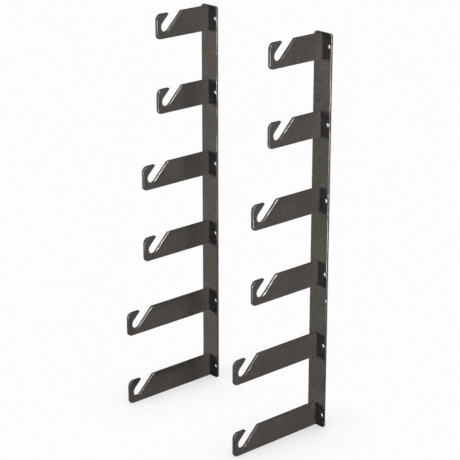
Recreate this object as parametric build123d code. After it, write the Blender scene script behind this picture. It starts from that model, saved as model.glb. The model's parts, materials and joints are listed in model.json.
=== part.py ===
"""A pair of wall racks: each is an upright flat steel bar that carries six hooked arms.

Frame, in millimetres: +X runs along the wall from the left rack to the right one, +Y points into the
wall and +Z points up. The origin is the middle of the left bar's back face, so the wall is the plane
Y = 0.

Each arm is a flat plate standing square on the bar, a little left of its centre line. Two countersunk
screws come through the bar from behind and thread into the plate's rear edge. Arms are numbered from
the top down, and the bar ends flush with the highest and the lowest arm.
"""

import math
import os

from build123d import *

# --- Driving dimensions -------------------------------------------------------------------------

RACK_SPACING = 320.0  # between the centre lines of the two bars

ARM_PITCH = 150.0
ARM_HEIGHT = 50.0
ARM_THICKNESS = 6.0
ARM_OFFSET = -2.5  # from the bar's centre line to the arm's middle plane
ARM_REACHES = (133.0, 133.0, 173.0, 173.0, 219.0, 219.0)  # from the bar's front face, top arm first

BAR_WIDTH = 45.0
BAR_THICKNESS = 5.0
BAR_LENGTH = (len(ARM_REACHES) - 1) * ARM_PITCH + ARM_HEIGHT
BAR_CORNER_RADIUS = 5.0

# The slot is open at the arm's top edge and slants down and outwards to a round seat near the nose.
SLOT_WIDTH = 21.0
SLOT_SLOPE = 45.0  # degrees above the horizontal
SEAT_TO_NOSE = 21.5
SEAT_TO_UNDERSIDE = 24.0
BEAK_TIP_RADIUS = 2.0
SLOT_HEEL_RADIUS = 2.0

NOSE_TOP_RADIUS = 12.0
NOSE_BOTTOM_RADIUS = 9.0
REAR_CORNER_RADIUS = 5.0

PLATE_EDGE_RADIUS = 1.0  # the rounding that every powder-coated plate edge has
BACK_EDGE_RADIUS = 0.5  # the bar's edges on the wall side

WALL_HOLE_DIAMETER = 9.0
WALL_HOLE_OFFSET = 15.5  # from the bar's centre line, one hole on each side of every arm
WALL_HOLE_CHAMFER = 0.5

# Socket countersunk screws, size M4 x 16, two to an arm.
SCREW_DIAMETER = 4.0
SCREW_LENGTH = 16.0
SCREW_SPACING = 30.0
SCREW_HEAD_DIAMETER = 8.2
SCREW_HEAD_RIM = 0.3
SCREW_HEAD_RECESS = 0.2  # how far the head sits below the bar's back face
SCREW_TIP_CHAMFER = 0.5
SCREW_SOCKET_FLATS = 2.5
SCREW_SOCKET_DEPTH = 1.5
SCREW_HOLE_DIAMETER = 4.5
SCREW_CLEARANCE = 0.03  # radial, between the screw and the walls around it
TAPPED_DEPTH = 14.0

# --- Derived places -----------------------------------------------------------------------------

RACKS = {"left": 0.0, "right": RACK_SPACING}
ARM_HEIGHTS = [BAR_LENGTH / 2 - ARM_HEIGHT / 2 - i * ARM_PITCH for i in range(len(ARM_REACHES))]
SCREW_OFFSETS = (-SCREW_SPACING / 2, SCREW_SPACING / 2)
FRONT_FACE = -BAR_THICKNESS


def side_plane(x, z):
    """A sketch plane square to the wall: its X runs out from the bar's front face, its Y runs up."""
    return Plane(origin=(x, FRONT_FACE, z), x_dir=(0, -1, 0), z_dir=(-1, 0, 0))


def wall_plane(x, y, z):
    """A sketch plane parallel to the wall, whose normal points into the wall."""
    return Plane(origin=(x, y, z), x_dir=(-1, 0, 0), z_dir=(0, 1, 0))


# --- Arms ---------------------------------------------------------------------------------------


def vertex_at(shape, x, y):
    """The sketch vertex nearest to a point."""
    return shape.vertices().sort_by_distance(Vector(x, y, 0))[0]


def arm_plate(reach):
    """The outline of one arm: a bar with a round nose, cut by the slanting slot."""
    half = ARM_HEIGHT / 2
    plate = Pos(reach / 2, 0) * Rectangle(reach, ARM_HEIGHT)
    for x, y, radius in (
        (0, half, REAR_CORNER_RADIUS),
        (0, -half, REAR_CORNER_RADIUS),
        (reach, half, NOSE_TOP_RADIUS),
        (reach, -half, NOSE_BOTTOM_RADIUS),
    ):
        plate = fillet(vertex_at(plate, x, y), radius)

    seat_x = reach - SEAT_TO_NOSE
    seat_y = SEAT_TO_UNDERSIDE - half
    slot_run = 2 * ARM_HEIGHT
    slot = Circle(SLOT_WIDTH / 2)
    slot += Pos(slot_run / 2, 0) * Rectangle(slot_run, SLOT_WIDTH)
    plate -= Pos(seat_x, seat_y) * Rot(0, 0, 180 - SLOT_SLOPE) * slot

    # Where the slot's two sides leave the top edge: the beak's tip, and the heel behind it.
    slope = math.radians(SLOT_SLOPE)
    mouth_centre = seat_x - (half - seat_y) / math.tan(slope)
    half_mouth = SLOT_WIDTH / 2 / math.sin(slope)
    plate = fillet(vertex_at(plate, mouth_centre + half_mouth, half), BEAK_TIP_RADIUS)
    plate = fillet(vertex_at(plate, mouth_centre - half_mouth, half), SLOT_HEEL_RADIUS)
    return plate


def make_arm(x, z, reach):
    """One hooked arm whose middle plane is at x, with its two tapped holes in the rear edge."""
    arm = extrude(side_plane(x, z) * arm_plate(reach), amount=ARM_THICKNESS / 2, both=True)
    sides = arm.faces().sort_by(Axis.X)
    arm = fillet(sides[0].edges() + sides[-1].edges(), PLATE_EDGE_RADIUS)
    for offset in SCREW_OFFSETS:
        mouth = wall_plane(x, FRONT_FACE - TAPPED_DEPTH, z + offset)
        arm -= extrude(mouth * Circle(SCREW_DIAMETER / 2), amount=TAPPED_DEPTH)
    return arm


# --- Bars ---------------------------------------------------------------------------------------


def make_bar(x):
    """One upright bar, with its wall holes and the countersunk holes for the arm screws."""
    outline = RectangleRounded(BAR_WIDTH, BAR_LENGTH, BAR_CORNER_RADIUS)
    bar = extrude(wall_plane(x, FRONT_FACE, 0) * outline, amount=BAR_THICKNESS)
    bar = fillet(bar.faces().sort_by(Axis.Y)[0].edges(), PLATE_EDGE_RADIUS)
    bar = fillet(bar.faces().sort_by(Axis.Y)[-1].edges(), BACK_EDGE_RADIUS)
    for z in ARM_HEIGHTS:
        for side in (-1, 1):
            bar -= wall_hole(x + side * WALL_HOLE_OFFSET, z)
        for offset in SCREW_OFFSETS:
            bar -= screw_hole(x + ARM_OFFSET, z + offset)
    return bar


def wall_hole(x, z):
    """The cut for one wall screw: a plain hole with a small chamfer at the front."""
    radius = WALL_HOLE_DIAMETER / 2
    cut = extrude(wall_plane(x, FRONT_FACE, z) * Circle(radius), amount=BAR_THICKNESS)
    chamfer_cone = Cone(radius + WALL_HOLE_CHAMFER, radius, WALL_HOLE_CHAMFER)
    return cut + wall_plane(x, FRONT_FACE + WALL_HOLE_CHAMFER / 2, z) * chamfer_cone


def screw_hole(x, z):
    """The cut for one arm screw: a clearance hole, countersunk from the back of the bar."""
    cut = extrude(wall_plane(x, FRONT_FACE, z) * Circle(SCREW_HOLE_DIAMETER / 2), amount=BAR_THICKNESS)
    sink_radius = SCREW_HEAD_DIAMETER / 2 + SCREW_CLEARANCE
    straight = SCREW_HEAD_RECESS + SCREW_HEAD_RIM
    depth = sink_radius - SCREW_HOLE_DIAMETER / 2
    cone = Cone(SCREW_HOLE_DIAMETER / 2, sink_radius, depth)
    cut += wall_plane(x, -straight - depth / 2, z) * cone
    return cut + wall_plane(x, -straight / 2, z) * Cylinder(sink_radius, straight)


# --- Screws -------------------------------------------------------------------------------------


def make_screw(x, z):
    """One arm screw, its head below the bar's back face and its tip in the arm."""
    head_radius = SCREW_HEAD_DIAMETER / 2
    shank_radius = SCREW_DIAMETER / 2 - SCREW_CLEARANCE
    neck = SCREW_HEAD_RIM + head_radius - shank_radius
    profile = Polyline(
        (0, 0),
        (head_radius, 0),
        (head_radius, -SCREW_HEAD_RIM),
        (shank_radius, -neck),
        (shank_radius, -SCREW_LENGTH + SCREW_TIP_CHAMFER),
        (shank_radius - SCREW_TIP_CHAMFER, -SCREW_LENGTH),
        (0, -SCREW_LENGTH),
        close=True,
    )
    screw = revolve(Plane.XZ * make_face(profile), Axis.Z)
    socket = RegularPolygon(SCREW_SOCKET_FLATS / 2, 6, major_radius=False)
    screw -= extrude(socket, amount=-SCREW_SOCKET_DEPTH)
    return wall_plane(x, -SCREW_HEAD_RECESS, z) * screw


# --- The pair -----------------------------------------------------------------------------------


def write(shape, name):
    export_step(shape, os.path.join("parts", f"{name}.step"))


def main():
    os.makedirs("parts", exist_ok=True)
    for side, x in RACKS.items():
        write(make_bar(x), f"{side}_bar")
        arm_x = x + ARM_OFFSET
        for number, (z, reach) in enumerate(zip(ARM_HEIGHTS, ARM_REACHES), start=1):
            write(make_arm(arm_x, z, reach), f"{side}_arm_{number}")
            screws = [make_screw(arm_x, z + offset) for offset in SCREW_OFFSETS]
            write(Compound(children=screws), f"{side}_arm_{number}_screws")


main()
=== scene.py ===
"""Looks, light and camera for the pair of wall racks. Metres, in the part's own frame."""

import json
import math

import bpy
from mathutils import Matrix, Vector


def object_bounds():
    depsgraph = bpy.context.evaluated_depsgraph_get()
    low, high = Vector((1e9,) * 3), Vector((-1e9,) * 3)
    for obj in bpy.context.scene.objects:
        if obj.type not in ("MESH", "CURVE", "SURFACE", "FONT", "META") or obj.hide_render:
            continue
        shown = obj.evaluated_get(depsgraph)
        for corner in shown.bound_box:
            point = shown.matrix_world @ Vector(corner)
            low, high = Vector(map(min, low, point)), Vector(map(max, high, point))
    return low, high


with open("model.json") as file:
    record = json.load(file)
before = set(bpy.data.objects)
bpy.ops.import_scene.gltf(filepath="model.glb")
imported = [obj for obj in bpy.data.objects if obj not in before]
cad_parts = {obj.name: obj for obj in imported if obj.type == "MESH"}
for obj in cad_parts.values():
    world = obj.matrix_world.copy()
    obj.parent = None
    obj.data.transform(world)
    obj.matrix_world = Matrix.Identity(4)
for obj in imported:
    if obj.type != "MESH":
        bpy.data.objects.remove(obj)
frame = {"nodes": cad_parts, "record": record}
cad_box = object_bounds()

# --- The view -----------------------------------------------------------------------------------

CAMERA_AZIMUTH = 48.5  # degrees; 0 looks straight at the wall, and positive is from the right
CAMERA_ELEVATION = 19.5
CAMERA_DISTANCE = 3.3
FRAME_FILL = 0.985  # the share of the picture that the object fills
SENSOR_WIDTH = 36.0  # millimetres

# --- The light ----------------------------------------------------------------------------------

# Each light: azimuth and elevation from the racks' middle in degrees, then distance, width and
# height, then watts, and last how it lights. "fill" shows in no reflection, "card" shows only as a
# reflection, and "softbox" does both.
LIGHTS = {
    "key_left": (-52.0, 5.0, 5.0, 1.4, 1.6, 440.0, "fill"),
    "side_right": (99.0, 15.0, 6.0, 0.8, 0.8, 265.0, "softbox"),
    "back_soft": (195.0, 22.0, 3.2, 1.2, 1.2, 36.0, "fill"),
    "front_card": (70.0, -12.0, 2.4, 0.3, 1.0, 300.0, "card"),
    "top_card": (76.0, 29.0, 5.0, 1.0, 1.0, 1500.0, "card"),
}
ROOM_LIGHT = 0.03  # the light from all around; the camera sees PAPER_WHITE there instead

# --- The paper under the racks ------------------------------------------------------------------

PAPER_SIZE = 40.0
PAPER_WHITE = 0.985
PAPER_BOUNCE = 0.45  # how much of the light that falls on the paper it sends back to the racks
FIBRE_SIZE = 0.01
FIBRE_DARKEST = 0.985
CONTACT_RADIUS = 0.12
CONTACT_DARKEST = 0.55

# --- Powder coat --------------------------------------------------------------------------------

COAT_DARK = (0.050, 0.044, 0.039, 1.0)
COAT_LIGHT = (0.100, 0.090, 0.081, 1.0)
# The lighter colour along the edges is partly wear and partly a painted highlight.
COAT_EDGE_WEAR_AND_SHEEN = (0.13, 0.12, 0.11, 1.0)
COAT_ROUGHNESS = (0.40, 0.58)  # the least and the most
COAT_ROUGHNESS_GRAIN = 0.5  # the roughness follows the mottle and this share of the grain
COAT_ROUGHNESS_RANGE = (0.5, 1.0)  # their sums that give the least and the most roughness
COAT_SPECULAR = 0.08
COAT_IOR = 1.5
CLEAR_COAT = 0.8
CLEAR_COAT_ROUGHNESS = 0.14

# The coat's tone is the sum of three noises. Each has a size and a share of the tone.
GRAIN_SIZE, GRAIN_SHARE = 0.0009, 0.20
MOTTLE_SIZE, MOTTLE_SHARE = 0.003, 0.65
STAIN_SIZE, STAIN_SHARE = 0.06, 0.15
COAT_TONE_RANGE = (0.41, 0.59)  # the tones that give COAT_DARK and COAT_LIGHT

GRAIN_BUMP = (0.35, 0.00012)  # strength and depth
PEEL_BUMP = (0.12, 0.0006)

# How far in from an edge the lighter colour, part wear and part painted highlight, reaches.
COAT_WEAR_AND_SHEEN_RADIUS = 0.0015
COAT_WEAR_AND_SHEEN = (0.15, 0.75)  # how much of the lighter edge colour, partly wear and partly a painted highlight, shows on the least and the most lightened edges
COAT_WEAR_AND_SHEEN_RANGE = (0.35, 0.62)  # the mottle levels that give the least and the most wear and painted highlight

# --- Screw steel --------------------------------------------------------------------------------

ZINC_DARK = (0.30, 0.30, 0.31, 1.0)
ZINC_LIGHT = (0.55, 0.55, 0.57, 1.0)
ZINC_EDGE = (0.75, 0.75, 0.76, 1.0)
ZINC_TONE_RANGE = (0.35, 0.65)  # the mottle levels that give ZINC_DARK and ZINC_LIGHT
ZINC_ROUGHNESS = (0.22, 0.45)
ZINC_MOTTLE_SIZE = 0.0012
ZINC_BUMP = (0.2, 0.0001)  # strength and depth
ZINC_WEAR_RADIUS = 0.0004
ZINC_WEAR = 0.5  # how much of ZINC_EDGE shows on an edge

# --- Shader nodes -------------------------------------------------------------------------------

NOISE_RANGE = (0.3, 0.7)  # nearly all of a noise's levels lie in here

# A Mix node has a set of sockets for each kind of data. These are the ones that mix colours.
MIX_AMOUNT, MIX_FIRST, MIX_SECOND, MIX_RESULT = 0, 6, 7, 2

# The edge finder compares the true normal with a rounded one. These are their products on a flat
# face, and where an edge counts in full.
FLAT_PRODUCT, EDGE_PRODUCT = 0.995, 0.90
EDGE_SAMPLES = 6
CONTACT_SAMPLES = 8


class Nodes:
    """A small helper that adds shader nodes to one material or world, and links them."""

    def __init__(self, owner):
        owner.use_nodes = True
        self.tree = owner.node_tree
        self.tree.nodes.clear()

    def add(self, kind, inputs=None, **settings):
        node = self.tree.nodes.new(kind)
        for name, value in settings.items():
            setattr(node, name, value)
        for name, value in (inputs or {}).items():
            self.put(node, name, value)
        return node

    def put(self, node, name, value):
        """Sets one input of a node to a value, or links it to another node's output."""
        if isinstance(value, bpy.types.NodeSocket):
            self.tree.links.new(value, node.inputs[name])
        else:
            node.inputs[name].default_value = value

    def noise(self, size, detail, roughness=0.5):
        """Noise whose features are about size metres across, placed by where a point is."""
        place = self.add("ShaderNodeNewGeometry").outputs["Position"]
        inputs = {"Vector": place, "Scale": 1.0 / size, "Detail": detail, "Roughness": roughness}
        return self.add("ShaderNodeTexNoise", inputs).outputs["Fac"]

    def spread(self, value, low, high, to_low=0.0, to_high=1.0):
        """Maps low..high to to_low..to_high, clamped."""
        inputs = {
            "Value": value, "From Min": low, "From Max": high, "To Min": to_low, "To Max": to_high,
        }
        return self.add("ShaderNodeMapRange", inputs).outputs["Result"]

    def blend(self, amount, first, second):
        """Goes from the first colour to the second as the amount goes from 0 to 1."""
        inputs = {MIX_AMOUNT: amount, MIX_FIRST: first, MIX_SECOND: second}
        return self.add("ShaderNodeMix", inputs, data_type="RGBA").outputs[MIX_RESULT]

    def math(self, operation, first, second):
        inputs = {0: first, 1: second}
        return self.add("ShaderNodeMath", inputs, operation=operation).outputs["Value"]

    def edges(self, radius):
        """1 on edges and corners, 0 on flat faces."""
        bevel = self.add("ShaderNodeBevel", {"Radius": radius}, samples=EDGE_SAMPLES)
        rounded = bevel.outputs["Normal"]
        true = self.add("ShaderNodeNewGeometry").outputs["Normal"]
        product = self.add("ShaderNodeVectorMath", {0: rounded, 1: true}, operation="DOT_PRODUCT")
        return self.spread(product.outputs["Value"], FLAT_PRODUCT, EDGE_PRODUCT)

    def bump(self, height, strength, depth, normal=None):
        """The normal of a surface raised by the height, on top of another bump if there is one."""
        inputs = {"Height": height, "Strength": strength, "Distance": depth}
        if normal is not None:
            inputs["Normal"] = normal
        return self.add("ShaderNodeBump", inputs).outputs["Normal"]

    def finish(self, shader):
        self.add("ShaderNodeOutputMaterial", {"Surface": shader})


# --- Materials ----------------------------------------------------------------------------------


def powder_coat():
    """Dark grey satin powder coat: fine grain, faint mottling, and edges a little lighter, partly
    from wear and partly as a painted highlight.
    """
    material = bpy.data.materials.new("powder_coat_look")
    n = Nodes(material)
    grain = n.noise(GRAIN_SIZE, detail=3.0, roughness=0.6)
    mottle = n.noise(MOTTLE_SIZE, detail=4.0, roughness=0.65)
    stain = n.noise(STAIN_SIZE, detail=3.0)
    grain_part = n.math("MULTIPLY", grain, GRAIN_SHARE)
    mottle_part = n.math("MULTIPLY", mottle, MOTTLE_SHARE)
    tone = n.math("ADD", grain_part, mottle_part)
    tone = n.math("ADD", tone, n.math("MULTIPLY", stain, STAIN_SHARE))
    colour = n.blend(n.spread(tone, *COAT_TONE_RANGE), COAT_DARK, COAT_LIGHT)
    # The edges get a lighter colour: partly wear, partly a painted highlight along the edges.
    edge_lightening = n.spread(mottle, *COAT_WEAR_AND_SHEEN_RANGE, *COAT_WEAR_AND_SHEEN)
    colour = n.blend(n.math("MULTIPLY", n.edges(COAT_WEAR_AND_SHEEN_RADIUS), edge_lightening), colour, COAT_EDGE_WEAR_AND_SHEEN)
    uneven = n.math("ADD", mottle, n.math("MULTIPLY", grain, COAT_ROUGHNESS_GRAIN))
    roughness = n.spread(uneven, *COAT_ROUGHNESS_RANGE, *COAT_ROUGHNESS)
    peel = n.bump(mottle, *PEEL_BUMP)
    normal = n.bump(grain, *GRAIN_BUMP, peel)
    shader = n.add("ShaderNodeBsdfPrincipled", {
        "Base Color": colour,
        "Roughness": roughness,
        "Normal": normal,
        "IOR": COAT_IOR,
        "Specular IOR Level": COAT_SPECULAR,
        "Coat Weight": CLEAR_COAT,
        "Coat Roughness": CLEAR_COAT_ROUGHNESS,
        "Coat Normal": peel,
    })
    n.finish(shader.outputs["BSDF"])
    return material


def zinc_steel():
    """Zinc-plated screw steel: mottled grey metal, duller in patches, brighter along its edges."""
    material = bpy.data.materials.new("zinc_steel_look")
    n = Nodes(material)
    mottle = n.noise(ZINC_MOTTLE_SIZE, detail=4.0, roughness=0.7)
    colour = n.blend(n.spread(mottle, *ZINC_TONE_RANGE), ZINC_DARK, ZINC_LIGHT)
    edge_lightening = n.math("MULTIPLY", n.edges(ZINC_WEAR_RADIUS), ZINC_WEAR)
    shader = n.add("ShaderNodeBsdfPrincipled", {
        "Base Color": n.blend(edge_lightening, colour, ZINC_EDGE),
        "Metallic": 1.0,
        "Roughness": n.spread(mottle, *NOISE_RANGE, *ZINC_ROUGHNESS),
        "Normal": n.bump(mottle, *ZINC_BUMP),
    })
    n.finish(shader.outputs["BSDF"])
    return material


def paper():
    """Studio paper: near white to the camera, with a faint contact shade, and matt otherwise."""
    material = bpy.data.materials.new("paper_look")
    n = Nodes(material)
    fibre = n.spread(n.noise(FIBRE_SIZE, detail=3.0), *NOISE_RANGE, FIBRE_DARKEST, 1.0)
    occlusion = n.add(
        "ShaderNodeAmbientOcclusion", {"Distance": CONTACT_RADIUS}, samples=CONTACT_SAMPLES
    )
    shade = n.spread(occlusion.outputs["AO"], 0.0, 1.0, CONTACT_DARKEST, 1.0)
    level = n.math("MULTIPLY", n.math("MULTIPLY", fibre, shade), PAPER_WHITE)
    seen = n.add("ShaderNodeEmission", {"Strength": level}).outputs["Emission"]
    bounce = (PAPER_BOUNCE, PAPER_BOUNCE, PAPER_BOUNCE, 1.0)
    matt = n.add("ShaderNodeBsdfDiffuse", {"Color": bounce}).outputs["BSDF"]
    camera_ray = n.add("ShaderNodeLightPath").outputs["Is Camera Ray"]
    mixed = n.add("ShaderNodeMixShader", {0: camera_ray, 1: matt, 2: seen})
    n.finish(mixed.outputs["Shader"])
    return material


def dress_nodes():
    """Gives every CAD piece the finish of its material slot in the record."""
    looks = {"powder_coat": powder_coat(), "screw_steel": zinc_steel()}
    for subpart in frame["record"]["subparts"]:
        piece = frame["nodes"][subpart["node"]]
        piece.data.materials.clear()
        piece.data.materials.append(looks[subpart["material_slot"]])


# --- The studio ---------------------------------------------------------------------------------


def direction(azimuth, elevation):
    """The unit vector from the object towards a place seen at these angles, in degrees."""
    a, e = math.radians(azimuth), math.radians(elevation)
    return Vector((math.sin(a) * math.cos(e), -math.cos(a) * math.cos(e), math.sin(e)))


def aim(thing, towards):
    """Turns a light or camera, whose view is along its own -Z, to look along a direction."""
    thing.rotation_euler = towards.to_track_quat("-Z", "Y").to_euler()


def add_floor():
    bpy.ops.mesh.primitive_plane_add(size=PAPER_SIZE, location=(0, 0, cad_box[0][2]))
    floor = bpy.context.object
    floor.name = "floor"
    floor.data.materials.append(paper())
    floor.visible_glossy = False


def add_world():
    """White behind the object, but only a little light from all around."""
    world = bpy.data.worlds.new("studio")
    bpy.context.scene.world = world
    n = Nodes(world)
    camera_ray = n.add("ShaderNodeLightPath").outputs["Is Camera Ray"]
    strength = n.spread(camera_ray, 0.0, 1.0, ROOM_LIGHT, PAPER_WHITE)
    white = {"Color": (1.0, 1.0, 1.0, 1.0), "Strength": strength}
    background = n.add("ShaderNodeBackground", white).outputs["Background"]
    n.add("ShaderNodeOutputWorld", {"Surface": background})


def add_lights(middle):
    """Places the area lights around the racks, each facing their middle."""
    for name, (azimuth, elevation, distance, width, height, watts, kind) in LIGHTS.items():
        lamp = bpy.data.lights.new(name, "AREA")
        lamp.shape = "RECTANGLE"
        lamp.size = width
        lamp.size_y = height
        lamp.energy = watts
        light = bpy.data.objects.new(name, lamp)
        towards = direction(azimuth, elevation)
        light.location = middle + distance * towards
        aim(light, -towards)
        light.visible_camera = False
        light.visible_diffuse = kind != "card"
        light.visible_glossy = kind != "fill"
        bpy.context.scene.collection.objects.link(light)


def add_camera(middle):
    """Looks from the chosen side and fits every point of the object into the square picture."""
    back = direction(CAMERA_AZIMUTH, CAMERA_ELEVATION)
    place = middle + CAMERA_DISTANCE * back
    right = Vector((-back.y, back.x, 0)).normalized()
    up = back.cross(right)
    seen = []
    for piece in frame["nodes"].values():
        for vertex in piece.data.vertices:
            offset = vertex.co - place
            depth = -offset.dot(back)
            seen.append((offset.dot(right) / depth, offset.dot(up) / depth))
    centre = [(min(values) + max(values)) / 2 for values in zip(*seen)]
    reach = max(max(values) - min(values) for values in zip(*seen))
    camera = bpy.data.objects.new("camera", bpy.data.cameras.new("camera"))
    camera.data.sensor_width = SENSOR_WIDTH
    camera.data.lens = SENSOR_WIDTH * FRAME_FILL / reach
    camera.location = place
    aim(camera, centre[0] * right + centre[1] * up - back)
    bpy.context.scene.collection.objects.link(camera)
    bpy.context.scene.camera = camera


dress_nodes()
add_floor()
add_world()
object_middle = (Vector(cad_box[0]) + Vector(cad_box[1])) / 2
add_lights(object_middle)
add_camera(object_middle)
bpy.context.scene.view_settings.view_transform = "Standard"
